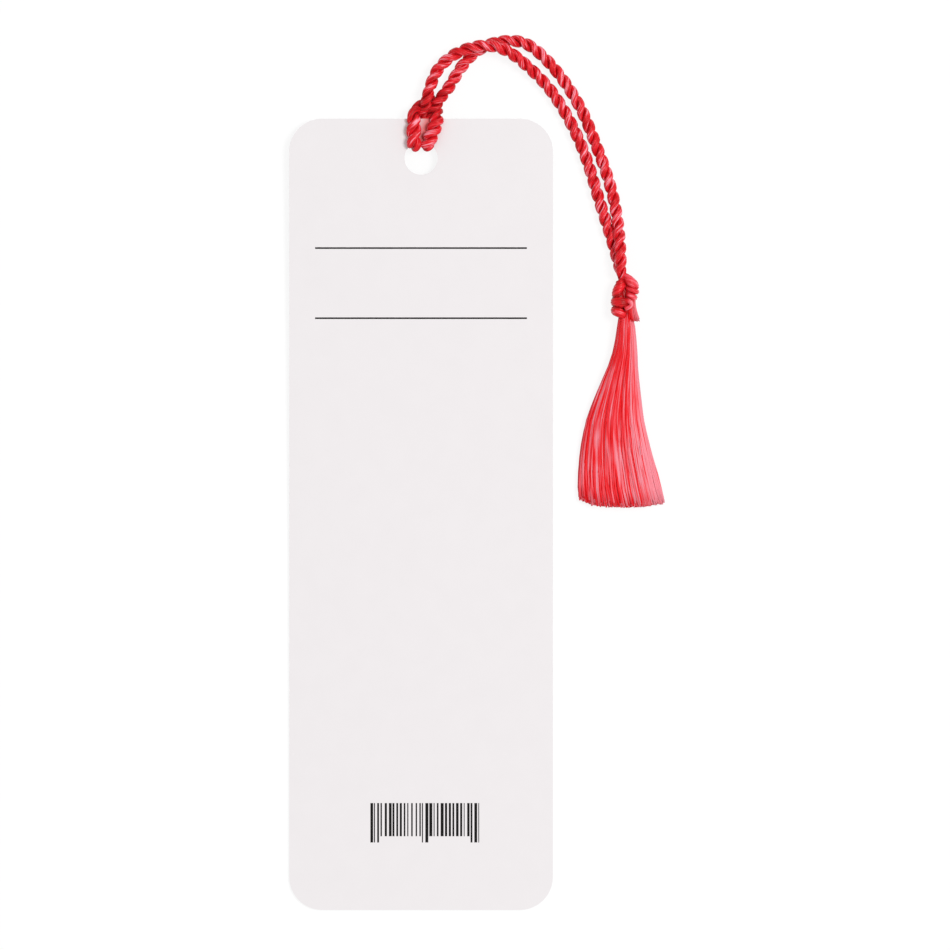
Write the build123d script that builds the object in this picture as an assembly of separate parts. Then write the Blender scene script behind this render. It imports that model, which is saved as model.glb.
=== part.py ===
from build123d import *

import math
import os

# A paper bookmark lying on a table: a die-cut card, and a length of twisted floss cord that is
# doubled into a loop, hitched through the card's hole and knotted, with its floss combed out below
# the knot as a tassel. X runs across the card, Y along it to the holed end, Z up from the table.
# The origin is on the table under the middle of the card. All sizes are in millimetres.

# Card
card_width = 50.8
card_length = 152.4
card_thickness = 0.4
card_corner_radius = 6.35
hole_diameter = 6.35
hole_setback = 7.6  # from the card's top edge to the hole's centre
card_foot = 30.0  # the lower end that lies flat, before the card bows up over its hitch

# Cord
cord_diameter = 2.1  # where it lies free
hitch_diameter = 1.6  # where it is pulled tight round the card
cord_clearance = 0.1  # between a cord and what it lies against
corner_share = 0.45  # of the shorter run, taken by the arc at each corner of a route

# Hitch, a doubled cord looped round the strip of card above the hole
fold_reach = 1.6  # from the hole's rim back to the fold of the cord in the hole
fold_offset = 1.1  # from the middle of the hole to each cord in it
leg_spread = 2.75  # from the middle of the hitch to each leg at the card's top edge
neck_spread = 0.85  # from the middle of the hitch to each cord under the top edge
hitch_lean = 0.5  # how far the hitch sits to the right of the card's middle at the top edge
leg_reach = 0.7  # from the top edge to where the legs turn down
crown_reach = 3.4  # from the top edge to the crown, which joins the legs under the cords
crown_bow = 0.5  # how far the middle of the crown bows outwards
hump_reach = 2.8  # from the top edge to where the cords rise over the crown

# Loop
loop_root_reach = 6.2  # from the top edge to where the loop starts to sway
loop_left_x = 1.8  # where its two strands start, from the card's middle
loop_right_x = 5.0
loop_left_level = 2.5
loop_right_level = 2.3
loop_root_play = 0.55  # room between the hitch's left end and the left strand, for the sway
arch_x = 12.9  # where the two strands cross, at the top of the loop
arch_reach = 14.3  # from the top edge to that crossing
arch_play = 0.2  # room between the two halves of the loop at the crossing

# Knot
knot_beside = 13.05  # from the card's right edge to the pivot at the knot's top
knot_below = 31.2  # from the card's top edge down to that pivot
knot_height = 4.5
knot_dome_radius = 1.4
knot_play = 0.2  # room between the knot and what bends beside it
wrap_diameter = 2.0
wrap_pitch = 1.7
wrap_drop = 4.1  # from the knot's pivot down to the upper of its two wraps
wrap_offset = 0.45  # from the knot's pivot across to the middle of the wraps
left_lobe = (-0.55, -2.4)  # the lower end of each lobe, from the knot's pivot
left_lobe_radius = 1.2
right_lobe = (1.85, -2.3)
tail_start = (2.0, -3.6)  # where the cord's cut end leaves the knot, from the knot's pivot
tail_run = (0.9, -2.8, -1.0)  # from there to its tip
tail_root_diameter = 1.0
tail_tip_diameter = 1.5

# Tassel
tassel_neck_width = 3.0
tassel_neck_lift = 0.5  # the neck's underside above the table
tassel_neck_offset = 0.95  # from the knot's pivot across to the middle of the neck
tassel_length = 35.1  # from the neck's pivot to the hem
tassel_locks = 9
lock_bulge = 0.18  # a lock's height over its edges, as a share of its width
tassel_side_share = 0.35  # of the tassel's thickness, at its two sides
tassel_side_chamfer = 0.4
tassel_hem = (-8.8, 7.2)  # the hem's two sides, from the middle of the neck
tassel_hem_thickness = 2.4
tassel_flare = [  # distance below the neck, left side, right side, thickness, lift off the table
    (6.5, -3.0, 2.2, 3.0, 0.3),
    (14.5, -6.2, 2.95, 2.9, 0.1),
    (20.0, -8.0, 3.7, 2.8, 0.0),
    (28.0, -8.95, 5.7, 2.6, 0.0),
]

# Worked out from the sizes above
top_edge = card_length / 2
side_edge = card_width / 2
hole_y = top_edge - hole_setback
hole_rim = hole_y + hole_diameter / 2
foot_end = card_foot - top_edge
bow_rise = hitch_diameter + 2 * cord_clearance
bow_span = hole_rim - foot_end
bow_radius = (bow_span**2 + bow_rise**2) / (2 * bow_rise)
arch_y = top_edge + arch_reach
cord_level = cord_diameter / 2
cord_level_over = cord_level + cord_diameter + cord_clearance
knot_x = side_edge + knot_beside
knot_y = top_edge - knot_below
knot_level = knot_height / 2
knot_bottom = knot_y - wrap_drop - wrap_pitch - wrap_diameter / 2
neck_x = knot_x + tassel_neck_offset
neck_y = knot_bottom - knot_play - tassel_neck_width / 2
neck_level = tassel_neck_lift + tassel_neck_width / 2
strand_end_y = knot_y + knot_dome_radius + knot_play


def card_underside(y):
    """Height of the card's underside above the table."""
    return bow_radius - math.sqrt(bow_radius**2 - max(0.0, y - foot_end) ** 2)


def make_card():
    """A rounded strip, flat at its foot and bowed up to the hitch, with a punched hole."""
    bow_end = math.asin((card_foot + bow_span + hole_setback) / bow_radius)
    inner_radius = bow_radius - card_thickness
    bow_centre = (foot_end, bow_radius)

    def bow_point(radius, angle):
        across = bow_centre[0] + radius * math.sin(angle)
        return (across, bow_centre[1] - radius * math.cos(angle))

    lower_bow = ThreePointArc(
        (foot_end, 0), bow_point(bow_radius, bow_end / 2), bow_point(bow_radius, bow_end)
    )
    upper_bow = ThreePointArc(
        bow_point(inner_radius, bow_end),
        bow_point(inner_radius, bow_end / 2),
        (foot_end, card_thickness),
    )
    side_view = [
        Line((-top_edge, 0), lower_bow @ 0),
        lower_bow,
        Line(lower_bow @ 1, upper_bow @ 0),
        upper_bow,
        Line(upper_bow @ 1, (-top_edge, card_thickness)),
        Line((-top_edge, card_thickness), (-top_edge, 0)),
    ]
    profile = Plane.YZ * make_face(side_view)
    strip = extrude(profile, amount=side_edge, both=True)
    outline = RectangleRounded(card_width, card_length, card_corner_radius)
    outline -= Pos(0, hole_y) * Circle(hole_diameter / 2)
    return strip & extrude(outline, amount=bow_radius / 10, both=True)


def corner_radii(points):
    """The largest even arcs that the runs of a route leave room for."""
    radii = []
    for before, here, after in zip(points, points[1:], points[2:]):
        run_in = Vector(*here) - Vector(*before)
        run_out = Vector(*after) - Vector(*here)
        half_turn = math.radians(run_in.get_angle(run_out) / 2)
        radii.append(corner_share * min(run_in.length, run_out.length) / math.tan(half_turn))
    return radii


def make_cord(name, points, diameter):
    """A round cord along straight runs joined by tangent arcs."""
    radii = corner_radii(points)
    path = FilletPolyline(*points, radius=radii)
    section = Plane(origin=path @ 0, z_dir=path % 0) * Circle(diameter / 2)
    cord = sweep(section, path)
    expected = math.pi * diameter**2 / 4 * path.length
    print(name, "length", round(path.length, 2), "volume ratio", round(cord.volume / expected, 4))
    print(name, "radii", [round(radius, 1) for radius in radii])
    return cord


def hitch_route():
    """From the loop's left strand, through the hole, round the crown and back to the right one."""
    low = hitch_diameter / 2
    high = card_underside(top_edge) + card_thickness + cord_clearance + hitch_diameter / 2
    over_crown = low + hitch_diameter + 3 * cord_clearance
    fold_y = hole_rim - fold_reach
    left_end_y = top_edge + loop_root_reach - cord_diameter / 2 - loop_root_play
    right_end_y = top_edge + loop_root_reach - cord_diameter / 2 - cord_clearance
    left_half = [
        (loop_left_x - 0.45, left_end_y, over_crown),
        (hitch_lean - 0.75 * neck_spread, top_edge + hump_reach, over_crown),
        (hitch_lean - neck_spread, top_edge - 0.4, low),
        (-fold_offset, fold_y, low),
        (-fold_offset, fold_y, high),
        (hitch_lean - leg_spread, top_edge + leg_reach, high),
        (hitch_lean - leg_spread, top_edge + crown_reach, low),
    ]
    right_half = [
        (hitch_lean + leg_spread, top_edge + crown_reach, low),
        (hitch_lean + leg_spread, top_edge + leg_reach, high),
        (fold_offset, fold_y, high),
        (fold_offset, fold_y, low),
        (hitch_lean + neck_spread, top_edge - 0.4, low),
        (hitch_lean + 1.5 * neck_spread, top_edge + hump_reach, over_crown),
        (loop_right_x - 0.75, right_end_y, over_crown),
    ]
    return left_half + [(hitch_lean, top_edge + crown_reach + crown_bow, low)] + right_half


def left_route():
    """The strand that leaves the hitch on the left and crosses over the other one at the arch."""
    flat = cord_level
    over = cord_level_over
    return [
        (loop_left_x, top_edge + loop_root_reach, loop_left_level),
        (3.0, top_edge + 9.4, 2.35),
        (5.6, top_edge + 12.4, 2.6),
        (9.4, top_edge + 14.0, over),
        (arch_x, arch_y, over),
        (side_edge - 8.8, top_edge + 13.7, over - cord_clearance),
        (side_edge - 5.2, top_edge + 11.2, 2.0),
        (side_edge - 1.0, top_edge + 6.6, flat),
        (side_edge + 2.2, top_edge + 1.7, flat),
        (side_edge + 5.0, top_edge - 3.8, flat),
        (side_edge + 7.0, top_edge - 9.2, flat),
        (side_edge + 8.6, top_edge - 14.6, flat),
        (side_edge + 10.3, top_edge - 20.0, flat),
        (side_edge + 11.7, top_edge - 24.8, flat),
        (knot_x, strand_end_y, flat),
    ]


def right_route():
    """The strand that passes under at the arch and climbs over the other one into the knot."""
    flat = cord_level
    over = cord_level_over
    return [
        (loop_right_x, top_edge + loop_root_reach, loop_right_level),
        (7.4, top_edge + 9.4, 1.4),
        (10.0, top_edge + 12.3, flat),
        (arch_x, arch_y, flat),
        (side_edge - 9.6, top_edge + 15.3, flat),
        (side_edge - 5.4, top_edge + 15.0, flat),
        (side_edge - 1.1, top_edge + 11.6, flat),
        (side_edge + 2.8, top_edge + 6.7, flat),
        (side_edge + 5.8, top_edge + 1.4, flat),
        (side_edge + 8.0, top_edge - 4.3, flat),
        (side_edge + 10.1, top_edge - 10.0, flat),
        (side_edge + 11.6, top_edge - 15.6, flat),
        (side_edge + 12.7, top_edge - 21.3, 1.9),
        (side_edge + 13.1, top_edge - 25.4, over),
        (knot_x, strand_end_y, over),
    ]


def make_strand(name, points):
    """A strand of the loop with a round start, cut in two at the arch: its rise and its drop."""
    start = Vector(*points[0])
    backwards = start - Vector(*points[1])
    dome = Plane(origin=start, z_dir=backwards) * Sphere(cord_diameter / 2, arc_size1=0)
    strand = make_cord(name, points, cord_diameter) + dome
    rise_end = Plane(origin=(arch_x - arch_play / 2, 0, 0), z_dir=(1, 0, 0))
    drop_start = Plane(origin=(arch_x + arch_play / 2, 0, 0), z_dir=(1, 0, 0))
    rise = split(strand, bisect_by=rise_end, keep=Keep.BOTTOM)
    drop = split(strand, bisect_by=drop_start, keep=Keep.TOP)
    return rise, drop


def make_capsule(start, end, radius):
    """A round bar with round ends between two points."""
    reach = (end - start).length
    bend = radius * math.sqrt(0.5)
    half_outline = [
        Line((0, -radius), (0, reach + radius)),
        ThreePointArc((0, reach + radius), (bend, reach + bend), (radius, reach)),
        Line((radius, reach), (radius, 0)),
        ThreePointArc((radius, 0), (bend, -bend), (0, -radius)),
    ]
    bar = revolve(Plane.XZ * make_face(half_outline), axis=Axis.Z)
    return Plane(origin=start, z_dir=end - start) * bar


def make_wraps():
    """Two turns of floss, one on the other, from the lower one's middle upwards along Z."""
    bulge = wrap_diameter / 2
    ring = knot_height / 2 - bulge
    groove = ring + math.sqrt(bulge**2 - wrap_pitch**2 / 4)
    half_outline = [
        Line((0, -bulge), (ring, -bulge)),
        ThreePointArc((ring, -bulge), (ring + bulge, 0), (groove, wrap_pitch / 2)),
        ThreePointArc(
            (groove, wrap_pitch / 2), (ring + bulge, wrap_pitch), (ring, wrap_pitch + bulge)
        ),
        Line((ring, wrap_pitch + bulge), (0, wrap_pitch + bulge)),
        Line((0, wrap_pitch + bulge), (0, -bulge)),
    ]
    return revolve(Plane.XZ * make_face(half_outline), axis=Axis.Z)


def make_knot():
    """Two lobes of floss that lean apart below the strands, over two wraps."""
    pivot = Vector(knot_x, knot_y, knot_level)
    lower_wrap = pivot + Vector(wrap_offset, -wrap_drop - wrap_pitch)
    knot = make_capsule(pivot, pivot + Vector(*left_lobe), left_lobe_radius)
    knot += make_capsule(pivot, pivot + Vector(*right_lobe), knot_dome_radius)
    knot += Plane(origin=lower_wrap, z_dir=(0, 1, 0)) * make_wraps()
    return knot


def make_tail(knot):
    """The cord's cut end, spread at its tip, lying against the knot."""
    start = Vector(knot_x, knot_y, knot_level) + Vector(*tail_start)
    run = Vector(*tail_run)
    bar = Cone(
        tail_root_diameter / 2,
        tail_tip_diameter / 2,
        run.length,
        align=(Align.CENTER, Align.CENTER, Align.MIN),
    )
    tail = Plane(origin=start, z_dir=run) * bar
    return (tail - knot).solids().sort_by(SortBy.VOLUME)[-1]


def tassel_section(drop, left, right, thickness, lift):
    """A slice across the tassel: flat on the table, with a row of rounded locks on top."""
    width = right - left
    lock_width = width / tassel_locks
    edges = []
    tops = []
    for lock in range(tassel_locks + 1):
        crown = math.sin(math.pi * lock / tassel_locks)
        share = tassel_side_share + (1 - tassel_side_share) * crown
        height = share * (thickness - lock_bulge * lock_width)
        tops.append(Vector(left + lock * lock_width, lift + height))
    for here, after in zip(tops, tops[1:]):
        middle = (here + after) / 2 + Vector(0, lock_bulge * lock_width)
        edges.append(ThreePointArc(here, middle, after))
    right_foot = Vector(right - tassel_side_chamfer, lift)
    left_foot = Vector(left + tassel_side_chamfer, lift)
    edges.append(Line(tops[-1], right_foot))
    edges.append(Line(right_foot, left_foot))
    edges.append(Line(left_foot, tops[0]))
    across = Plane(origin=(neck_x, neck_y - drop, 0), x_dir=(1, 0, 0), z_dir=(0, -1, 0))
    return across * make_face(edges)


def make_tassel():
    """Floss that flares from a round neck to an even hem, all of one length below the neck."""
    half_neck = tassel_neck_width / 2
    past_hem = tassel_length + tassel_neck_width
    stations = [(0.0, -half_neck, half_neck, tassel_neck_width, tassel_neck_lift)]
    stations += tassel_flare
    stations.append((past_hem, *tassel_hem, tassel_hem_thickness, 0.0))
    floss = loft([tassel_section(*station) for station in stations], ruled=True)
    reach = Cylinder(tassel_length, 2 * tassel_length)
    floss &= Pos(neck_x, neck_y, 0) * reach
    roller = Cylinder(half_neck, tassel_neck_width - 2 * tassel_side_chamfer)
    floss += Pos(neck_x, neck_y, neck_level) * Rot(0, 90, 0) * roller
    return floss


def main():
    os.makedirs("parts", exist_ok=True)
    rise_left, drop_left = make_strand("left strand", left_route())
    rise_right, drop_right = make_strand("right strand", right_route())
    knot = make_knot()
    pieces = {
        "card": make_card(),
        "hitch": make_cord("hitch", hitch_route(), hitch_diameter),
        "rise_left": rise_left,
        "rise_right": rise_right,
        "drop_left": drop_left,
        "drop_right": drop_right,
        "knot": knot,
        "knot_tail": make_tail(knot),
        "tassel": make_tassel(),
    }
    for name, piece in pieces.items():
        export_step(piece, f"parts/{name}.step")


main()
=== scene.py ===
import math

import bpy
import numpy as np
from mathutils.kdtree import KDTree
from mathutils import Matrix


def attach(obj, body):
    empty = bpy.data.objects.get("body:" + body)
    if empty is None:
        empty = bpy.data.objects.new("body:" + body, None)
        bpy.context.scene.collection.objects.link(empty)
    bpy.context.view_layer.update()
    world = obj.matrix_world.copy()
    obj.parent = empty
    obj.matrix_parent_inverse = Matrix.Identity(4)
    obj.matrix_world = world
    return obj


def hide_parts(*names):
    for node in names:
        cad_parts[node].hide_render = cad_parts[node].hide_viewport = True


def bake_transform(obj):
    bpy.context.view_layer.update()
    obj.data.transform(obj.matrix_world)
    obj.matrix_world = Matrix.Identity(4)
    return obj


# A paper bookmark seen from straight above: a bowed card, a loop of two-ply twisted floss cord that is
# hitched through its hole, and a knot and combed-out tassel at the loop's far end.
# Sizes and places are in millimetres in the row frame, and become metres where a mesh is made.

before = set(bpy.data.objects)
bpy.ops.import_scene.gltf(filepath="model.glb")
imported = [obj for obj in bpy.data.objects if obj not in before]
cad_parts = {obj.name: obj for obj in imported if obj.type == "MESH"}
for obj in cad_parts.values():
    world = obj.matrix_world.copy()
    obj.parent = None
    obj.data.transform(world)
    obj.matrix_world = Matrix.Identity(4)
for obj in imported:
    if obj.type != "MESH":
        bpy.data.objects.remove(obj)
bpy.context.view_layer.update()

MM = 0.001

# Photograph
photo_pixels = 950
photo_pixels_per_mm = 5.19
photo_centre = (10.4, 7.6)  # the place under the middle of the picture
camera_height = 3000.0
camera_sensor = 36.0

# Stage
floor_half = 2000.0
floor_level = -0.15  # under the table's level, so that nothing lies in the floor's plane
floor_white = (0.82, 0.82, 0.82, 1)  # what lights the object from below
floor_shade = (0.13, 0.13, 0.13, 1)  # what the camera sees of the light on it, and so of its shadows
floor_glow = 0.88  # what it sees besides, so that the floor is white
world_strength = 0.54
lamp_place = (1000.0, 350.0, 2000.0)
lamp_aim = (10.0, 10.0, 0.0)
lamp_size = 700.0
lamp_watts = 29.0

# Card
writing_lines = (51.3, 37.8)  # how far up the card each ruled line lies
writing_line_reach = 20.4
writing_line_width = 0.32
bars_left = -9.8
bars_right = 11.2
bars_top = -55.6
bars_bottom = -63.2
bar_spacing = 0.72
bar_drift = 1.3  # how far the bars crowd together and spread apart, in spacings
bar_drift_scale = 0.45  # how often they do, per mm
bar_shares = (0.28, 0.78)  # of its spacing, the thinnest bar and the thickest
bars_shorter = 1.2  # how much shorter the bars between the guards are
bars_guard = 1.8  # width of the long bars at each end
bars_middle = (0.1, 1.4)  # where the long bars in the middle are
print_facing = 0.5  # how far up a face has to look to hold print
ink_colour = (0.006, 0.005, 0.005, 1)
paper_stops = [(0.3, (0.850, 0.817, 0.826)), (0.7, (0.860, 0.827, 0.836))]
# painted light: the red bounce light and red-tinted shade that the cord throws on the card between the
# hitch's legs
painted_bounce_colour = (0.78, 0.15, 0.15, 1)
painted_bounce_foot = 70.85  # along Y, the foot of the hitch's right leg
painted_bounce_lean = 0.4  # how far that leg leans to the right, per mm up the card
painted_bounce_rise = (-3.2, -0.2)  # along X at that foot, where the painted red bounce light begins on the card
painted_bounce_fall = (0.4, 1.6)  # where it goes again, under the leg
painted_bounce_start = (70.6, 71.6)  # along Y, where it begins at the hole

# Floss: a tone at each place, from streaks along the fibres, looks up its colour between stops; the palest
# stops are partly the floss's own random tone and partly painted sheen highlights
streaks_across = 1.9
streak_weight = 0.75  # the rest is broad patches
cord_streaks_along = 0.5
cord_sheen = 0.1
cord_stops = [
    (0.36, (0.46, 0.002, 0.005)),
    (0.46, (0.78, 0.005, 0.012)),
    (0.535, (0.88, 0.016, 0.030)),
    (0.615, (1.0, 0.34, 0.42)),
]
knot_streaks_along = 0.8
knot_sheen = 0.08
knot_stops = [
    (0.37, (0.44, 0.002, 0.004)),
    (0.48, (0.76, 0.005, 0.010)),
    (0.58, (0.90, 0.020, 0.034)),
    (0.70, (1.0, 0.28, 0.34)),
]
# painted light: a paler copy of the knot's floss colours for the turns and bundles on the lit side
painted_lit_stops = [
    (0.37, (0.68, 0.006, 0.012)),
    (0.47, (0.87, 0.04, 0.060)),
    (0.57, (0.94, 0.15, 0.20)),
    (0.67, (1.0, 0.37, 0.43)),
]

# Cord: two plies laid round each other
twist_pitch = 4.9
leg_pitches = (5.2, 3.8)  # on the hitch's left leg and on its right
between_legs = (-1.0, 2.5)  # along X, from one leg's pitch to the other's
groove_reach = (0.55, 0.95)  # from the cord's middle, the groove between its plies
groove_painted_shade = 0.07  # painted shade: how much darker in tone the cord is there
crown_painted_shade = 0.09  # painted shade, the same where the hitch's cord runs past the card's edge into the strands' shadow
end_fan_shades = [0.0, 0.0]  # the same at the middles of a tube's two ends, which don't show
ply_offset = 0.58  # from the cord's middle to a ply's middle
ply_depth = 0.58  # a ply's half size outwards
ply_breadth = 0.79  # a ply's half size round the cord
ply_sides = 48
ply_flutes = 12
flute_depth = 0.07
flute_untwist = 0.37  # radians per mm by which the yarns turn back in their ply
ply_swell = 0.03  # how much a ply thickens and thins along the cord
swell_rate = 0.9  # radians per mm
ply_streak_shift = 100.0  # along the fibres, per radian between the plies, so that their streaks differ
ring_step = 0.15
twist_start = 1.3
hitch_squeeze = 0.85  # of the cord's size, where the hitch grips
neck_width = 0.96  # of the cord's size, where its four runs lie abreast past the card's edge
face_width = 1.2  # of the cord's size, across a leg that lies on the card's face
face_depth = 0.85  # of its size, upwards there
knot_squeeze = 0.6  # where the strands run into the knot
knot_entry = (38.8, 44.6, 2.2)
knot_entry_reach = (0.3, 3.6)
grip_top = (80.4, 82.6)  # along Y, where the cord comes free of the hitch
grip_side = (6.0, 9.0)  # the same along X
card_edge = (75.5, 77.0)
card_face = (2.0, 3.0)

# The cord's route in three stretches: left strand, hitch and right strand
left_route = [
    (1.85, 82.6, 2.5),
    (3.0, 85.6, 2.35),
    (5.7, 88.3, 2.6),
    (9.4, 89.9, 3.3),
    (12.9, 90.35, 3.3),
    (16.4, 89.55, 3.15),
    (19.9, 86.95, 2.0),
    (24.3, 82.7, 1.22),
    (27.6, 77.9, 1.22),
    (30.4, 72.4, 1.22),
    (32.4, 67.0, 1.22),
    (34.0, 61.6, 1.22),
    (35.7, 56.2, 1.22),
    (37.2, 51.4, 1.22),
    (38.45, 46.9, 1.4),
    (38.8, 45.0, 2.2),
    (39.0, 43.8, 2.2),
]
hitch_route = [
    (1.35, 81.0, 2.7),
    (1.2, 79.2, 2.6),
    (0.1, 77.3, 1.6),
    (0.0, 75.4, 0.92),
    (-1.1, 70.85, 0.92),
    (-1.35, 70.85, 3.24),
    (-1.45, 73.4, 3.24),
    (-1.25, 75.4, 3.24),
    (-1.6, 77.2, 3.0),
    (-0.5, 78.3, 1.2),
    (1.2, 80.0, 0.95),
    (2.7, 79.9, 0.95),
    (3.1, 78.0, 1.5),
    (3.35, 76.3, 3.24),
    (1.15, 70.85, 3.24),
    (0.95, 70.85, 0.92),
    (1.65, 75.4, 0.92),
    (1.75, 77.3, 1.6),
    (3.1, 79.0, 2.7),
    (4.0, 80.5, 2.7),
]
right_route = [
    (5.4, 82.2, 2.3),
    (7.45, 85.8, 1.4),
    (9.8, 88.65, 1.22),
    (12.9, 90.5, 1.22),
    (15.8, 91.25, 1.22),
    (20.05, 91.15, 1.22),
    (24.2, 87.7, 1.22),
    (28.1, 82.85, 1.22),
    (31.2, 77.6, 1.22),
    (33.4, 71.9, 1.22),
    (35.6, 66.3, 1.22),
    (37.2, 60.7, 1.22),
    (38.1, 54.9, 1.9),
    (38.4, 50.8, 3.3),
    (38.45, 46.9, 3.0),
    (38.8, 45.0, 2.5),
    (39.0, 43.8, 2.3),
]
spline_steps = 24
left_split = (3.6, 86.3, 2.4)  # where the hitched stretch ends and each strand begins
right_split = (7.45, 85.8, 1.5)

# Knot: turns of floss, each a slanted ring round the knot's core, and bundles along routes
knot_level = 2.25
red_turns = [  # middle, reach across and up, rise on the front, lean, half thickness and width, yarns
    ((38.15, 43.55), (0.45, 0.9), 0.8, 0.28, (0.82, 1.6), 16),  # left lobe
    ((38.55, 40.8), (1.25, 1.35), -0.1, 0.0, (0.75, 0.95), 12),  # wraps
    ((38.2, 38.9), (0.95, 1.2), -0.4, 0.0, (0.68, 0.9), 10),
]
lit_side_turns = [
    ((40.3, 44.85), (0.72, 0.95), -0.7, -0.32, (0.85, 1.15), 20),  # right lobe
    ((40.65, 43.2), (0.75, 1.1), -0.45, 0.0, (0.6, 0.5), 8),
    ((40.45, 42.05), (0.62, 1.05), -0.45, 0.0, (0.6, 0.55), 8),
]
red_bundles = [  # radius, yarns and route
    (0.8, 10, [(38.8, 44.9, 1.8), (39.0, 43.6, 1.9), (39.3, 41.0, 2.0), (39.4, 37.0, 2.0)]),
    (0.8, 10, [(38.2, 43.0, 2.2), (38.2, 42.0, 2.3), (38.2, 40.0, 2.3), (38.4, 38.6, 2.2)]),
    (0.7, 10, [(40.1, 44.4, 2.3), (40.1, 42.5, 2.6), (39.9, 40.5, 2.8), (39.7, 37.6, 2.3)]),
]
lit_side_bundles = [
    (
        0.42,
        8,
        [(38.9, 41.0, 3.6), (39.9, 41.2, 4.0), (40.6, 40.6, 3.9), (40.3, 39.9, 3.9), (39.2, 39.6, 3.8)],
    ),
]
crease_reach = (0.1, 0.6)  # from one turn to the next, where painted shade darkens the knot
crease_painted_shade = 0.14  # painted shade: how much darker in tone it is there
turn_yarn_sway = 0.3  # radians by which the yarns of a turn sway
bundle_yarn_twist = 0.3  # radians per mm by which the yarns of a bundle turn
tube_streak_shift = 20.0  # along the fibres, from one tube to the next, so that their streaks differ
bundle_step = 0.3
turn_rings = 72
floss_sides = 56

# Loose threads
thread_sides = 6
thread_flatness = 0.6
patch_stretch = (0.9, 3.7, 0.11)  # how fast patches change by a thread's own tone, by lock and along it
patch_weight = 2.3
own_weight = 0.6  # of a thread's own tone
broad_stretch = (0.0, 0.11, 0.05)  # as for patches, but over several locks
broad_weight = 0.5
thread_tone_offset = -1.15
# the palest stops are partly random tone of the floss and partly painted sheen highlights
thread_stops = [
    (0.28, (0.86, 0.002, 0.006)),
    (0.46, (0.89, 0.033, 0.047)),
    (0.67, (0.90, 0.14, 0.17)),
    (0.92, (0.92, 0.27, 0.325)),
]

# Tail: the cord's cut end
tail_threads = 150
tail_root = (40.8, 41.4, 2.8)
tail_waist = (40.45, 39.6, 3.4)
tail_tip = (41.1, 37.4, 2.7)
tail_scatters = [(0.42, 0.2, 0.3), (0.75, 0.2, 0.45), (1.0, 0.3, 0.5)]  # at its root, waist and tip
tail_rings = 7
tail_radius = 0.09
tail_taper = 0.03
tail_locks = 7  # its threads' patches differ as those of so many locks
tail_patch_reach = 4.0  # along the fibres, from its root to its tip
tail_tones = (0.1, 1.0)  # on its left and on its right

# Tassel
neck = (39.4, 36.5)
tassel_threads = 1350
tassel_rings = 15
tassel_locks = 44
tassel_length = 35.0
tassel_rows = [  # below the neck, left side, right side, thickness, lift off the table
    (-2.2, -1.2, 1.2, 2.4, 0.8),
    (0.0, -1.55, 1.75, 3.0, 0.5),
    (4.5, -2.2, 2.2, 3.0, 0.35),
    (8.0, -3.35, 2.3, 3.0, 0.25),
    (11.4, -4.8, 2.6, 2.95, 0.15),
    (14.9, -6.2, 3.0, 2.9, 0.1),
    (18.4, -7.4, 3.5, 2.85, 0.0),
    (21.8, -8.0, 4.25, 2.75, 0.0),
    (25.3, -8.35, 5.0, 2.7, 0.0),
    (28.8, -8.55, 5.95, 2.6, 0.0),
    (32.2, -8.5, 6.8, 2.5, 0.0),
    (36.0, -7.8, 7.8, 2.4, 0.0),
]
thread_lengths = (-0.95, 0.35)  # from the tassel's length, the shortest thread and the longest
lock_trim = 0.12  # half of how much shorter one lock is cut than another
lock_trim_turn = 2.4  # radians of that trim's wave from one lock to the next
corner_trim = 0.5  # how much shorter the left corner is
corner_reach = (-0.7, -1.0)  # across the tassel, from where the corner begins to its side
sway_start = 6.0  # below the neck, where threads begin to sway from their lines
gather_start = 18.0  # where they begin to gather into locks
gather_share = 0.15  # of the way to the lock's middle
lock_sway = 0.02  # spread of the locks' sways, in halves of the tassel's width
thread_sway = 0.03  # the same for threads
stray_sway = 0.11  # the same for stray ones
stray_every = 20
wave_reach = 0.12
wave_rate = 0.35  # radians per mm
wave_turn = 1.7  # radians from one lock to the next
edge_crown = 0.05  # square of what is left of the crown at the sides
flat_edge = 0.5  # of its thickness, what the flat part of the tassel keeps at its sides
flattening = (2.0, 14.0)  # below the neck, where the round bundle turns flat
lowest_thread = 0.1
neck_radius = 0.07
body_swell = 0.06  # how much thicker a thread is below the neck
body_swell_reach = (0.0, 16.0)
hem_swell = 0.03  # how much thicker still towards the hem
hem_swell_reach = (16.0, 32.0)
tip_taper = 0.01
tip_reach = 4.0
tone_shift = -0.08
right_painted_light = 0.5  # painted light: how much paler threads are on the right, the lit side
right_painted_light_reach = (0.4, 1.0)
edge_painted_light = 0.7  # painted light: how much more at the very edge
edge_painted_light_reach = (0.8, 1.0)
hem_pale = 0.15  # how much paler they are at the hem
hem_pale_reach = (18.0, 34.0)

thread_seed = 11
rng = np.random.default_rng(thread_seed)


# Lines and meshes

def spline_points(route):
    """Points along the smooth spline that a route's points control."""
    curve = bpy.data.curves.new("route", "CURVE")
    curve.dimensions = "3D"
    curve.resolution_u = spline_steps
    spline = curve.splines.new("NURBS")
    spline.points.add(len(route) - 1)
    for point, place in zip(spline.points, route):
        point.co = (*place, 1)
    spline.order_u = 3
    spline.use_endpoint_u = True
    holder = bpy.data.objects.new("route", curve)
    mesh = bpy.data.meshes.new_from_object(holder)
    points = np.array([vertex.co for vertex in mesh.vertices])
    bpy.data.objects.remove(holder)
    bpy.data.curves.remove(curve)
    bpy.data.meshes.remove(mesh)
    return points


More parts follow.
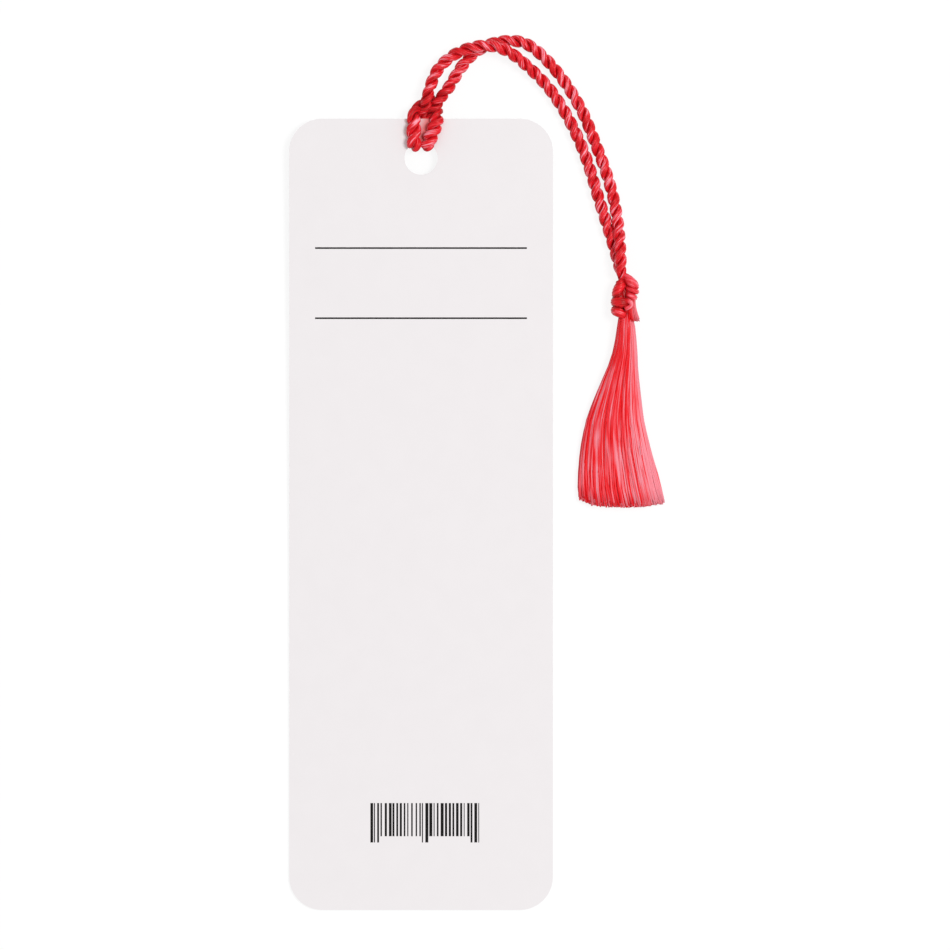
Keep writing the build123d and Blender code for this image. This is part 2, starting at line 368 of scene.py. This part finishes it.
def spaced(points, step):
    """The same line at even steps, and how far along it each point is."""
    runs = np.linalg.norm(np.diff(points, axis=0), axis=1)
    reached = np.concatenate([[0.0], np.cumsum(runs)])
    along = np.linspace(0.0, reached[-1], round(reached[-1] / step) + 1)
    even = np.stack([np.interp(along, reached, points[:, axis]) for axis in range(3)], axis=1)
    return even, along


def unit(vectors):
    """The same directions, each of length 1."""
    return vectors / np.linalg.norm(vectors, axis=-1, keepdims=True)


def cross_frames(points):
    """Two directions square to a line at each point, turned as little as can be along it."""
    tangents = unit(np.gradient(points, axis=0))
    side = np.array([1.0, 0.0, 0.0])
    sides = []
    for tangent in tangents:
        side = unit(side - tangent * (side @ tangent))
        sides.append(side)
    sides = np.array(sides)
    return sides, np.cross(tangents, sides)


def smooth(start, end, values):
    """0 at the start, 1 at the end, and a smooth rise between."""
    share = np.clip((values - start) / (end - start), 0.0, 1.0)
    return share * share * (3 - 2 * share)


def tube_faces(rings, sides, first):
    """Faces of a closed tube of so many rings, with a fan over each end."""
    faces = []
    for ring in range(rings - 1):
        here = first + ring * sides
        for side in range(sides):
            after = (side + 1) % sides
            faces.append((here + side, here + after, here + sides + after, here + sides + side))
    start_middle = first + rings * sides
    end_ring = first + (rings - 1) * sides
    for side in range(sides):
        after = (side + 1) % sides
        faces.append((first + after, first + side, start_middle))
        faces.append((end_ring + side, end_ring + after, start_middle + 1))
    return faces


def loop_faces(rings, sides, first):
    """Faces of a tube whose last ring joins its first."""
    faces = []
    for ring in range(rings):
        here = first + ring * sides
        there = first + (ring + 1) % rings * sides
        for side in range(sides):
            after = (side + 1) % sides
            faces.append((here + side, here + after, there + after, there + side))
    return faces


def tubes_object(name, tubes, looped=False):
    """One mesh of several tubes, each rings of points and of fibre traits (rings, sides, 3)."""
    points = []
    values = []
    faces = []
    first = 0
    for rings, traits in tubes:
        count, sides = rings.shape[:2]
        points.append(rings.reshape(-1, 3))
        values.append(traits.reshape(-1, 3))
        if looped:
            faces += loop_faces(count, sides, first)
            first += count * sides
            continue
        for end in (0, -1):
            points.append(rings[end].mean(axis=0, keepdims=True))
            values.append(traits[end].mean(axis=0, keepdims=True))
        faces += tube_faces(count, sides, first)
        first += count * sides + 2
    mesh = bpy.data.meshes.new(name)
    mesh.from_pydata(np.concatenate(points) * MM, [], faces)
    mesh.shade_smooth()
    fibre = mesh.attributes.new("fibre", "FLOAT_VECTOR", "POINT")
    fibre.data.foreach_set("vector", np.concatenate(values).astype(np.float32).ravel())
    piece = bpy.data.objects.new(name, mesh)
    bpy.context.scene.collection.objects.link(piece)
    return piece


def mark_shade(piece, shades):
    """Marks the painted shade of each point of a piece, how much darker it is, from the shades of each of
    its tubes.
    """
    mark = piece.data.attributes.new("shade", "FLOAT", "POINT")
    mark.data.foreach_set("value", np.concatenate(shades).astype(np.float32))


# Materials

class Shader:
    """A small helper for writing node materials."""

    def __init__(self, name):
        self.material = bpy.data.materials.new(name)
        self.material.use_nodes = True
        self.nodes = self.material.node_tree.nodes
        self.links = self.material.node_tree.links
        self.surface = self.nodes["Principled BSDF"]
        self.output = self.nodes["Material Output"]

    def put(self, socket, value):
        if isinstance(value, bpy.types.NodeSocket):
            self.links.new(value, socket)
        else:
            socket.default_value = value

    def node(self, kind, inputs=None, output=0, **settings):
        node = self.nodes.new(kind)
        for key, value in settings.items():
            setattr(node, key, value)
        for key, value in (inputs or {}).items():
            self.put(node.inputs[key], value)
        return node.outputs[output]

    def math(self, operation, *values):
        return self.node("ShaderNodeMath", dict(enumerate(values)), operation=operation)

    def both(self, first, second):
        return self.math("MULTIPLY", first, second)

    def other(self, share):
        return self.math("SUBTRACT", 1.0, share)

    def within(self, value, low, high):
        """1 where a value lies between two others, 0 elsewhere."""
        middle = (low + high) / 2
        return self.math("COMPARE", value, middle, (high - low) / 2)

    def fade(self, value, start, end):
        """0 at the start, 1 at the end, and a smooth rise between."""
        span = {"Value": value, "From Min": start, "From Max": end}
        return self.node("ShaderNodeMapRange", span, interpolation_type="SMOOTHSTEP")

    def scaled(self, vector, scales):
        return self.node("ShaderNodeVectorMath", {0: vector, 1: scales}, operation="MULTIPLY")

    def mix(self, share, first, second):
        """One colour turning to another; the node's sockets 6 and 7, and its output 2, are its colours."""
        inputs = {0: share, 6: first, 7: second}
        return self.node("ShaderNodeMix", inputs, output=2, data_type="RGBA")

    def ramp(self, value, stops):
        """A colour for each value, between the stops given as (place, colour)."""
        node = self.nodes.new("ShaderNodeValToRGB")
        while len(node.color_ramp.elements) < len(stops):
            node.color_ramp.elements.new(0.5)
        for element, (place, colour) in zip(node.color_ramp.elements, stops):
            element.position = place
            element.color = (*colour, 1)
        self.links.new(value, node.inputs[0])
        return node.outputs[0]

    def noise(self, vector, scale, detail=2.0, roughness=0.5):
        inputs = {"Vector": vector, "Scale": scale, "Detail": detail, "Roughness": roughness}
        return self.node("ShaderNodeTexNoise", inputs)

    def set(self, **values):
        """Values of the surface shader, written with _ for each space."""
        for key, value in values.items():
            self.put(self.surface.inputs[key.replace("_", " ")], value)

    def bump(self, height, strength, distance):
        inputs = {"Strength": strength, "Distance": distance * MM, "Height": height}
        self.links.new(self.node("ShaderNodeBump", inputs), self.surface.inputs["Normal"])


def floss_material(name, stops, streaks_along, sheen):
    """Silky fibres: fine streaks that run with the thread, from the fibre trait of each point; their palest
    colours are partly painted sheen highlights.
    """
    shader = Shader(name)
    fibre = shader.node("ShaderNodeAttribute", output="Vector", attribute_name="fibre")
    streak_place = shader.scaled(fibre, (streaks_across, streaks_across, streaks_along))
    fine = shader.noise(streak_place, scale=1.0, detail=3.0, roughness=0.6)
    broad = shader.noise(fibre, scale=0.55, detail=1.0)
    streaks = shader.math("MULTIPLY", fine, streak_weight)
    tone = shader.math("ADD", streaks, shader.math("MULTIPLY", broad, 1 - streak_weight))
    # painted shade: the shade attribute darkens the tone
    shade = shader.node("ShaderNodeAttribute", output="Fac", attribute_name="shade")
    tone = shader.math("SUBTRACT", tone, shade)
    shader.set(Base_Color=shader.ramp(tone, stops), Roughness=0.38, Specular_IOR_Level=0.3)
    shader.set(Sheen_Weight=sheen, Sheen_Roughness=0.35, Sheen_Tint=(1, 0.55, 0.6, 1))
    shader.bump(fine, strength=0.6, distance=0.15)
    return shader.material


def thread_material(name, stops):
    """Loose silky threads: each its own tone, with patches along each lock that are partly random tone and
    partly painted sheen.
    """
    shader = Shader(name)
    fibre = shader.node("ShaderNodeAttribute", output="Vector", attribute_name="fibre")
    patch = shader.noise(shader.scaled(fibre, patch_stretch), scale=1.0, detail=2.0)
    own = shader.node("ShaderNodeSeparateXYZ", {0: fibre}, output="X")
    broad = shader.noise(shader.scaled(fibre, broad_stretch), scale=1.0, detail=1.0)
    patches = shader.math("MULTIPLY", patch, patch_weight)
    tone = shader.math("ADD", patches, shader.math("MULTIPLY", own, own_weight))
    tone = shader.math("ADD", tone, shader.math("MULTIPLY_ADD", broad, broad_weight, thread_tone_offset))
    shader.set(Base_Color=shader.ramp(tone, stops), Roughness=0.4, Specular_IOR_Level=0.18)
    return shader.material


def ruled_lines(shader, x, y):
    """1 on each ruled line, 0 elsewhere."""
    half_width = writing_line_width / 2
    on_line = 0.0
    for line in writing_lines:
        on_line = shader.math("MAXIMUM", on_line, shader.within(y, line - half_width, line + half_width))
    return shader.both(on_line, shader.within(x, -writing_line_reach, writing_line_reach))


def bar_strip(shader, x, y):
    """1 on each bar, 0 elsewhere: bars of chance widths, with longer ones at the ends and in the middle."""
    drift = shader.node("ShaderNodeTexNoise", {"W": x, "Scale": bar_drift_scale}, noise_dimensions="1D")
    drifted = shader.math("MULTIPLY", drift, bar_drift)
    spacings = shader.math("ADD", shader.math("DIVIDE", x, bar_spacing), drifted)
    column = shader.math("FLOOR", spacings)
    chance = shader.node("ShaderNodeTexWhiteNoise", {"W": column}, noise_dimensions="1D")
    thinnest, thickest = bar_shares
    width = shader.math("MULTIPLY_ADD", chance, thickest - thinnest, thinnest)
    bar = shader.math("LESS_THAN", shader.math("FRACT", spacings), width)
    between = shader.within(x, bars_left + bars_guard, bars_right - bars_guard)
    between = shader.both(between, shader.other(shader.within(x, *bars_middle)))
    lowest = shader.math("MULTIPLY_ADD", between, bars_shorter, bars_bottom)
    rows = shader.both(shader.math("GREATER_THAN", y, lowest), shader.math("LESS_THAN", y, bars_top))
    return shader.both(shader.both(bar, shader.within(x, bars_left, bars_right)), rows)


def painted_leg_bounce(shader, x, y):
    """How much painted red bounce light, with its red-tinted shade, the card gets between the hitch's legs.
    """
    up_the_leg = shader.math("SUBTRACT", y, painted_bounce_foot)
    from_leg = shader.math("SUBTRACT", x, shader.math("MULTIPLY", up_the_leg, painted_bounce_lean))
    risen = shader.fade(from_leg, *painted_bounce_rise)
    fallen = shader.fade(from_leg, *painted_bounce_fall)
    beside = shader.both(risen, shader.other(fallen))
    return shader.both(beside, shader.fade(y, *painted_bounce_start))


def card_material():
    """Uncoated white card with a faint mottle, two ruled lines, a strip of plain bars and painted red
    bounce light between the hitch's legs.
    """
    shader = Shader("card_stock")
    place = shader.scaled(shader.node("ShaderNodeTexCoord", output="Object"), (1 / MM, 1 / MM, 1 / MM))
    x = shader.node("ShaderNodeSeparateXYZ", {0: place}, output="X")
    y = shader.node("ShaderNodeSeparateXYZ", {0: place}, output="Y")
    facing = shader.node("ShaderNodeNewGeometry", output="Normal")
    up = shader.node("ShaderNodeSeparateXYZ", {0: facing}, output="Z")
    ink = shader.math("MAXIMUM", ruled_lines(shader, x, y), bar_strip(shader, x, y))
    ink = shader.both(ink, shader.math("GREATER_THAN", up, print_facing))
    paper = shader.ramp(shader.noise(place, scale=0.22, detail=3.0), paper_stops)
    # painted red bounce light and tinted shade from the cord, mixed into the paper between the hitch's legs
    paper = shader.mix(painted_leg_bounce(shader, x, y), paper, painted_bounce_colour)
    shader.set(Base_Color=shader.mix(ink, paper, ink_colour), Roughness=0.7, Specular_IOR_Level=0.15)
    fibres = shader.noise(place, scale=3.5, detail=4.0, roughness=0.65)
    shader.bump(fibres, strength=0.12, distance=0.03)
    return shader.material


# Cord

def cord_line():
    """The whole cord, from the knot round the hitch and back to the knot."""
    points = spline_points(left_route[::-1] + hitch_route + right_route)
    return spaced(points, ring_step)


def free_share(points):
    """0 where the hitch grips the cord, 1 where it has come free of it."""
    return np.maximum(smooth(*grip_top, points[:, 1]), smooth(*grip_side, points[:, 0]))


def cord_sizes(points):
    """The cord's size across and upwards at each point, as shares of its free size."""
    free = free_share(points)
    past_edge = smooth(*card_edge, points[:, 1])
    on_face = smooth(*card_face, points[:, 2]) * (1 - past_edge) * (1 - free)
    grip = hitch_squeeze + (neck_width - hitch_squeeze) * past_edge
    across = grip + (face_width - grip) * on_face + (1 - grip) * free
    upwards = hitch_squeeze + (face_depth - hitch_squeeze) * on_face + (1 - hitch_squeeze) * free
    away = np.linalg.norm(points - np.array(knot_entry), axis=1)
    nip = knot_squeeze + (1 - knot_squeeze) * smooth(*knot_entry_reach, away)
    return np.stack([across * nip, across * nip, upwards * nip], axis=1)


def twist_angle(points, along):
    """How far the plies have turned at each point, at one pitch in the hitch and another beyond it."""
    left_pitch, right_pitch = leg_pitches
    gripped = left_pitch + (right_pitch - left_pitch) * smooth(*between_legs, points[:, 0])
    pitch = gripped + (twist_pitch - gripped) * free_share(points)
    return np.concatenate([[0.0], np.cumsum(2 * math.pi * np.diff(along) / pitch[1:])])


def flutes(yarn, count):
    """How far so many yarns push the surface of their bundle in and out."""
    return 1 - flute_depth + 2 * flute_depth * np.abs(np.cos(yarn * count / 2))


def fibre_traits(yarn, along):
    """The way round its yarns and the way along them, at each point of a bundle."""
    lengthways = np.broadcast_to(along[:, None], yarn.shape)
    return np.stack([np.cos(yarn), np.sin(yarn), lengthways], axis=2)


def ply_rings(points, along, sides, ups, turn):
    """Rings of one ply round the cord's line, with its yarns as flutes, and their fibre traits."""
    angle = (twist_angle(points, along) + turn + twist_start)[:, None, None]
    outwards = np.cos(angle) * sides[:, None] + np.sin(angle) * ups[:, None]
    sideways = -np.sin(angle) * sides[:, None] + np.cos(angle) * ups[:, None]
    around = np.linspace(0, 2 * math.pi, ply_sides, endpoint=False)[None, :]
    yarn = around + flute_untwist * along[:, None]
    fluted = flutes(yarn, ply_flutes)
    swell = 1 + ply_swell * np.sin(along * swell_rate + turn)[:, None]
    depth = ply_offset + ply_depth * np.cos(around) * fluted * swell
    breadth = ply_breadth * np.sin(around) * fluted * swell
    offsets = depth[..., None] * outwards + breadth[..., None] * sideways
    rings = points[:, None] + offsets * cord_sizes(points)[:, None]
    return rings, fibre_traits(yarn, along + ply_streak_shift * turn)


def nearest(points, place):
    """The number of the point that lies nearest to a place."""
    return int(np.linalg.norm(points - np.array(place), axis=1).argmin())


def ply_shade(rings, path):
    """How much painted shade a ply gets, in the grooves and where the hitch's cord runs past the card's
    edge.
    """
    away = np.linalg.norm(rings - path[:, None], axis=2)
    # painted shade where the crown lies past the card's edge, in the strands' shadow
    crown_in_shadow = smooth(*card_edge, path[:, 1]) * (1 - free_share(path))
    shade = groove_painted_shade * (1 - smooth(*groove_reach, away)) + crown_painted_shade * crown_in_shadow[:, None]
    return np.append(shade, end_fan_shades)


def make_cord_pieces(material):
    """The hitched stretch of the cord, and its two strands from there to the knot."""
    points, along = cord_line()
    sides, ups = cross_frames(points)
    plies = [ply_rings(points, along, sides, ups, turn) for turn in (0.0, math.pi)]
    left_end = nearest(points, left_split)
    right_end = nearest(points, right_split)
    stretches = {
        "loop_strand_left": (0, left_end),
        "hitch_cord": (left_end, right_end),
        "loop_strand_right": (right_end, len(points) - 1),
    }
    pieces = {}
    for name, (start, end) in stretches.items():
        part = slice(start, end + 1)
        tubes = [(rings[part], traits[part]) for rings, traits in plies]
        piece = tubes_object(name, tubes)
        piece.data.materials.append(material)
        mark_shade(piece, [ply_shade(rings, points[part]) for rings, _ in tubes])
        pieces[name] = (piece, points[part] * MM, along[end] - along[start])
    return pieces


def declare_cords(pieces):
    """Hides the parts that each stretch of cord replaces, and bakes each stretch's place into its mesh."""
    hitch, hitch_path, hitch_length = pieces["hitch_cord"]
    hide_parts("hitch")
    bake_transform(hitch)
    for side, from_knot in (("left", True), ("right", False)):
        strand, path, length = pieces[f"loop_strand_{side}"]
        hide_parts(f"rise_{side}", f"drop_{side}")
        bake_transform(strand)


# Knot

def floss_section(turn, yarns):
    """Places round a bundle of floss, pushed in and out by its yarns, for each turn of the yarns."""
    around = np.linspace(0, 2 * math.pi, floss_sides, endpoint=False)[None, :]
    yarn = around + turn[:, None]
    fluted = flutes(yarn, yarns)
    return np.cos(around) * fluted, np.sin(around) * fluted, yarn


def knot_turn(middle, reach, rise, lean, half_size, yarns, number):
    """One turn of floss: a slanted ring with a flat oval section that leans to one side at its top."""
    angle = np.linspace(math.pi, 3 * math.pi, turn_rings, endpoint=False)
    right, up = np.sin(angle), np.cos(angle)
    nothing = np.zeros(turn_rings)
    middle_x, middle_y = middle
    across, upwards = reach
    half_thickness, half_width = half_size
    line = np.stack(
        [middle_x + across * right, middle_y + rise * across * right, knot_level + upwards * up],
        axis=1,
    )
    outwards = unit(np.stack([right / across, nothing, up / upwards], axis=1))
    ahead = unit(np.stack([across * up, rise * across * up, -upwards * right], axis=1))
    sideways = np.cross(ahead, outwards) - (lean, 0, 0)
    depth, breadth, yarn = floss_section(np.sin(angle + number) * turn_yarn_sway, yarns)
    offsets = half_thickness * depth[..., None] * outwards[:, None]
    offsets = offsets + half_width * breadth[..., None] * sideways[:, None]
    return line[:, None] + offsets, fibre_traits(yarn, angle * across + tube_streak_shift * number)


def floss_tube(radius, yarns, route, number):
    """A bundle of floss along a smooth route."""
    line, along = spaced(spline_points(route), bundle_step)
    sides, ups = cross_frames(line)
    depth, breadth, yarn = floss_section(bundle_yarn_twist * along, yarns)
    offsets = radius * (depth[..., None] * sides[:, None] + breadth[..., None] * ups[:, None])
    return line[:, None] + offsets, fibre_traits(yarn, along + tube_streak_shift * number)


def painted_crease_shades(tubes):
    """How much painted shade each tube of the knot gets where it lies against the others."""
    clouds = [rings.reshape(-1, 3) for rings, _ in tubes]
    shades = []
    for number, cloud in enumerate(clouds):
        others = np.concatenate(clouds[:number] + clouds[number + 1:])
        tree = KDTree(len(others))
        for index, place in enumerate(others):
            tree.insert(place, index)
        tree.balance()
        gaps = np.array([tree.find(place)[2] for place in cloud])
        shades.append(crease_painted_shade * (1 - smooth(*crease_reach, gaps)))
    return shades


def make_knot(red, pale):
    """Turns and bundles of floss, the ones on the lit side in a paler copy of the floss as painted light,
    and all with painted shade where they meet.
    """
    tubes = []
    for turn in red_turns + lit_side_turns:
        tubes.append(knot_turn(*turn, len(tubes)))
    for bundle in red_bundles + lit_side_bundles:
        tubes.append(floss_tube(*bundle, len(tubes)))
    shades = painted_crease_shades(tubes)
    pieces = []
    first = 0
    for name, count, looped, material in (
        ("overhand_knot", len(red_turns), True, red),
        ("knot_lobe", len(lit_side_turns), True, pale),
        ("knot_core", len(red_bundles), False, red),
        ("knot_fold", len(lit_side_bundles), False, pale),
    ):
        part = slice(first, first + count)
        first += count
        piece = tubes_object(name, tubes[part], looped)
        end_shades = [] if looped else end_fan_shades
        mark_shade(piece, [np.append(shade, end_shades) for shade in shades[part]])
        piece.data.materials.append(material)
        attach(piece, "knot")
        pieces.append(piece)
    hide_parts("knot")
    return pieces


# Loose threads

def thread_rings(line, radius, traits):
    """A flat thread along a line, thinner or thicker by the radius at each point."""
    ahead = unit(np.gradient(line, axis=0))
    sides = unit(np.cross(ahead, (0.0, 0.0, 1.0)))
    ups = np.cross(sides, ahead)
    around = np.linspace(0, 2 * math.pi, thread_sides, endpoint=False)
    offsets = [math.cos(angle) * sides + thread_flatness * math.sin(angle) * ups for angle in around]
    rings = np.stack([line + radius[:, None] * offset for offset in offsets], axis=1)
    return rings, np.broadcast_to(traits[:, None], rings.shape)


def make_tail(material):
    """The cut end of the cord, fanned out into its threads."""
    share = np.linspace(0, 1, tail_rings)
    weights = np.stack([(1 - share) ** 2, 2 * share * (1 - share), share**2], axis=1)
    low, high = tail_tones
    threads = []
    for number in range(tail_threads):
        scatter = rng.uniform(-1, 1, 3)
        points = np.array([tail_root, tail_waist, tail_tip]) + scatter * np.array(tail_scatters)
        line = weights @ points
        radius = tail_radius - tail_taper * share
        tone = np.full(tail_rings, low + (high - low) * (scatter[0] + 1) / 2)
        lock = np.full(tail_rings, number % tail_locks)
        traits = np.stack([tone, lock, tail_patch_reach * share], axis=1)
        threads.append(thread_rings(line, radius, traits))
    tail = tubes_object("cut_end", threads)
    tail.data.materials.append(material)
    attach(tail, "knot")
    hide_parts("knot_tail")
    return tail


def thread_end(across, lock):
    """How far below the neck a thread is cut, on an arc that falls short at the left corner."""
    _, left, right, _, _ = tassel_rows[-1]
    lean = (right + left) / 2 + (right - left) / 2 * across
    long = tassel_length + rng.uniform(*thread_lengths)
    long -= lock_trim * (1 + math.sin(lock_trim_turn * lock))
    long -= corner_trim * smooth(*corner_reach, across)
    return math.sqrt(long**2 - lean**2)


def thread_heights(place, layer, drop, thick, lift):
    """How high a thread lies along it: in a round bundle at the neck, and in a flat dome below."""
    crown = np.sqrt(np.clip(1 - place**2, edge_crown, 1))
    round_z = lift + thick * (0.5 + (layer - 0.5) * crown)
    flat_z = lift + thick * layer * (flat_edge + (1 - flat_edge) * crown)
    z = round_z + (flat_z - round_z) * smooth(*flattening, drop)
    return np.maximum(z, lowest_thread)


def thread_radii(drop, end):
    """How thick a thread is along it: thickest near the hem, with a thinner tip."""
    swell = body_swell * smooth(*body_swell_reach, drop) + hem_swell * smooth(*hem_swell_reach, drop)
    return neck_radius + swell - tip_taper * smooth(end - tip_reach, end, drop)


def thread_tone(across, drop):
    """A thread's tone along it: a chance one of its own, paler on the right from painted light, and paler
    towards the hem.
    """
    # painted light on the lit right side and at its edge
    side = right_painted_light * smooth(*right_painted_light_reach, across) + edge_painted_light * smooth(*edge_painted_light_reach, across)
    pale = side + hem_pale * smooth(*hem_pale_reach, drop)
    return rng.uniform() + tone_shift + pale


def tassel_thread(across, layer, lock, lock_middle, sway):
    """One thread from the knot to the hem: its line, its radii and how far below the neck each point is."""
    below, left, right, thickness, lift = np.array(tassel_rows).T
    end = thread_end(across, lock)
    drop = np.linspace(below[0], end, tassel_rings)
    share = smooth(sway_start, tassel_length, drop)
    gather = smooth(gather_start, tassel_length, drop)
    place = across + (lock_middle - across) * gather_share * gather + sway * share
    left_at = np.interp(drop, below, left)
    right_at = np.interp(drop, below, right)
    x = left_at + (place + 1) / 2 * (right_at - left_at)
    wave = wave_reach * np.sin(drop * wave_rate + wave_turn * lock) * share
    thick = np.interp(drop, below, thickness)
    z = thread_heights(place, layer, drop, thick, np.interp(drop, below, lift))
    line = np.stack([neck[0] + x + wave, neck[1] - drop, z], axis=1)
    return line, thread_radii(drop, end), drop


def make_tassel(material):
    """Combed-out floss that gathers into locks towards a ragged hem."""
    cuts = np.sort(rng.uniform(-1, 1, tassel_locks - 1))
    middles = np.concatenate([[-1.0], cuts]) / 2 + np.concatenate([cuts, [1.0]]) / 2
    lock_sways = rng.normal(0, lock_sway, tassel_locks)
    threads = []
    for number in range(tassel_threads):
        across = rng.uniform(-1, 1)
        layer = math.sqrt(rng.uniform())
        lock = int(np.searchsorted(cuts, across))
        spread = stray_sway if number % stray_every == 0 else thread_sway
        sway = lock_sways[lock] + rng.normal(0, spread)
        line, radius, drop = tassel_thread(across, layer, lock, middles[lock], sway)
        traits = np.stack([thread_tone(across, drop), np.full(tassel_rings, lock), drop], axis=1)
        threads.append(thread_rings(line, radius, traits))
    tassel = tubes_object("tassel_threads", threads)
    tassel.data.materials.append(material)
    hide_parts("tassel")
    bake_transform(tassel)
    return tassel


# Stage

def floor_material():
    """White where the camera sees it, with a light shadow, and plain white to the object."""
    shader = Shader("floor")
    plain = shader.node("ShaderNodeBsdfDiffuse", {"Color": floor_white})
    shade = shader.node("ShaderNodeBsdfDiffuse", {"Color": floor_shade})
    glow = shader.node("ShaderNodeEmission", {"Color": (1, 1, 1, 1), "Strength": floor_glow})
    seen = shader.node("ShaderNodeAddShader", {0: shade, 1: glow})
    rays = shader.nodes.new("ShaderNodeLightPath").outputs
    shown = shader.math("MAXIMUM", rays["Is Camera Ray"], rays["Is Glossy Ray"])
    shown = shader.math("MAXIMUM", shown, rays["Is Transmission Ray"])
    mixed = shader.node("ShaderNodeMixShader", {0: shown, 1: plain, 2: seen})
    shader.links.new(mixed, shader.output.inputs["Surface"])
    return shader.material


def make_floor():
    """A wide plain floor under the object."""
    half = floor_half * MM
    level = floor_level * MM
    mesh = bpy.data.meshes.new("floor")
    corners = [(-half, -half, level), (half, -half, level), (half, half, level), (-half, half, level)]
    mesh.from_pydata(corners, [], [(0, 1, 2, 3)])
    floor = bpy.data.objects.new("floor", mesh)
    bpy.context.scene.collection.objects.link(floor)
    mesh.materials.append(floor_material())


def make_world():
    """Even white light from all round."""
    world = bpy.data.worlds.new("studio")
    bpy.context.scene.world = world
    world.use_nodes = True
    background = world.node_tree.nodes["Background"]
    background.inputs["Color"].default_value = (1, 1, 1, 1)
    background.inputs["Strength"].default_value = world_strength


def make_lamp():
    """One square soft light, turned to what it lights."""
    lamp = bpy.data.lights.new("key", "AREA")
    lamp.size = lamp_size * MM
    lamp.energy = lamp_watts
    holder = bpy.data.objects.new("key", lamp)
    bpy.context.scene.collection.objects.link(holder)
    holder.location = [MM * value for value in lamp_place]
    right, ahead, up = np.array(lamp_aim) - np.array(lamp_place)
    tilt = math.atan2(math.hypot(right, ahead), -up)
    turn = math.atan2(ahead, right) - math.pi / 2
    holder.rotation_euler = (tilt, 0, turn)


def make_camera():
    """Straight above, with the card's long side up the picture."""
    camera = bpy.data.cameras.new("camera")
    field = photo_pixels / photo_pixels_per_mm
    camera.sensor_width = camera_sensor
    camera.lens = camera_sensor * camera_height / field
    holder = bpy.data.objects.new("camera", camera)
    bpy.context.scene.collection.objects.link(holder)
    holder.location = (photo_centre[0] * MM, photo_centre[1] * MM, camera_height * MM)
    bpy.context.scene.camera = holder


def main():
    bpy.context.scene.view_settings.view_transform = "Standard"
    make_camera()
    make_floor()
    make_world()
    make_lamp()

    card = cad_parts["card"]
    card.data.materials.clear()
    card.data.materials.append(card_material())

    cord_pieces = make_cord_pieces(floss_material("cord", cord_stops, cord_streaks_along, cord_sheen))
    knot_floss = floss_material("knot_floss", knot_stops, knot_streaks_along, knot_sheen)
    # the lit side of the knot gets a paler copy of its floss, as painted light
    painted_lit_floss = floss_material("painted_lit_knot_floss", painted_lit_stops, knot_streaks_along, knot_sheen)
    knot_pieces = make_knot(knot_floss, painted_lit_floss)
    threads = thread_material("loose_floss", thread_stops)
    tail = make_tail(threads)
    tassel = make_tassel(threads)
    declare_cords(cord_pieces)


main()
